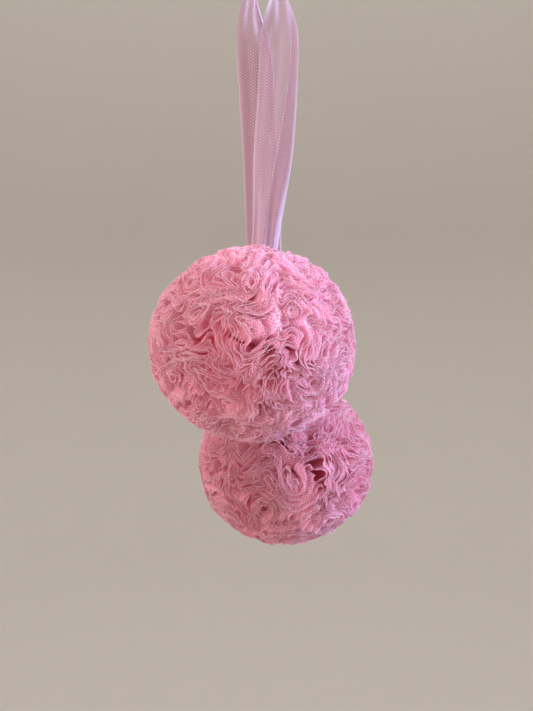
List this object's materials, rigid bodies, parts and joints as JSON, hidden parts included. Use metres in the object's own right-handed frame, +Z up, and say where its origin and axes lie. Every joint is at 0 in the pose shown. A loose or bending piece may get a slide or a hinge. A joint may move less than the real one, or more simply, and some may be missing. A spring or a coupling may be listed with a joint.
{
  "type": "netting back scrubber",
  "caption": "Back scrubber of ruffled netting puffs, one tied to each end of a netting ribbon that hangs over a hook.",
  "frame": {"origin": "on the axis of the hook prong, at the middle of the ribbon's bight", "axes": "+Z up, -Y towards the front, +Y along the prong towards the wall"},
  "size_m": [0.141, 0.207, 0.3812],
  "materials": {
    "front_puff_netting": "satin",
    "rear_puff_netting": "satin",
    "ribbon_netting": "satin",
    "tie_cord": "matte"
  },
  "bodies": {
    "hook_bight": {"strap_crown": "ribbon_netting"},
    "front_strap": {"front_strand": "ribbon_netting"},
    "front_bend": {"front_neck": "ribbon_netting"},
    "front_puff": {"front_tail": "ribbon_netting", "front_tie_cord": "tie_cord", "front_netting_1": "front_puff_netting", "front_netting_2": "front_puff_netting", "front_netting_3": "front_puff_netting", "front_netting_4": "front_puff_netting", "front_netting_5": "front_puff_netting", "front_netting_6": "front_puff_netting"},
    "rear_strap": {"rear_strand": "ribbon_netting"},
    "rear_bend": {"rear_neck": "ribbon_netting"},
    "rear_puff": {"rear_tail": "ribbon_netting", "rear_tie_cord": "tie_cord", "rear_netting_1": "rear_puff_netting", "rear_netting_2": "rear_puff_netting", "rear_netting_3": "rear_puff_netting", "rear_netting_4": "rear_puff_netting", "rear_netting_5": "rear_puff_netting", "rear_netting_6": "rear_puff_netting"}
  },
  "joints": [
    {"name": "front_swing", "type": "hinge", "parent": "hook_bight", "child": "front_strap", "pos_m": [0, 0, 0], "axis": [0, 1, 0], "range_deg": [-60, 25]},
    {"name": "rear_swing", "type": "hinge", "parent": "hook_bight", "child": "rear_strap", "pos_m": [0, 0, 0], "axis": [0, 1, 0], "range_deg": [-25, 60]},
    {"name": "front_rock", "type": "hinge", "parent": "front_strap", "child": "front_bend", "pos_m": [-0.007, -0.037, -0.176], "axis": [1, 0, 0], "range_deg": [-40, 0]},
    {"name": "rear_rock", "type": "hinge", "parent": "rear_strap", "child": "rear_bend", "pos_m": [0.015, 0.051, -0.258], "axis": [1, 0, 0], "range_deg": [0, 40]},
    {"name": "front_twist", "type": "hinge", "parent": "front_bend", "child": "front_puff", "pos_m": [-0.007, -0.037, -0.176], "axis": [0, 0, 1], "range_deg": [-180, 180]},
    {"name": "rear_twist", "type": "hinge", "parent": "rear_bend", "child": "rear_puff", "pos_m": [0.015, 0.051, -0.258], "axis": [0, 0, 1], "range_deg": [-180, 180]}
  ]
}
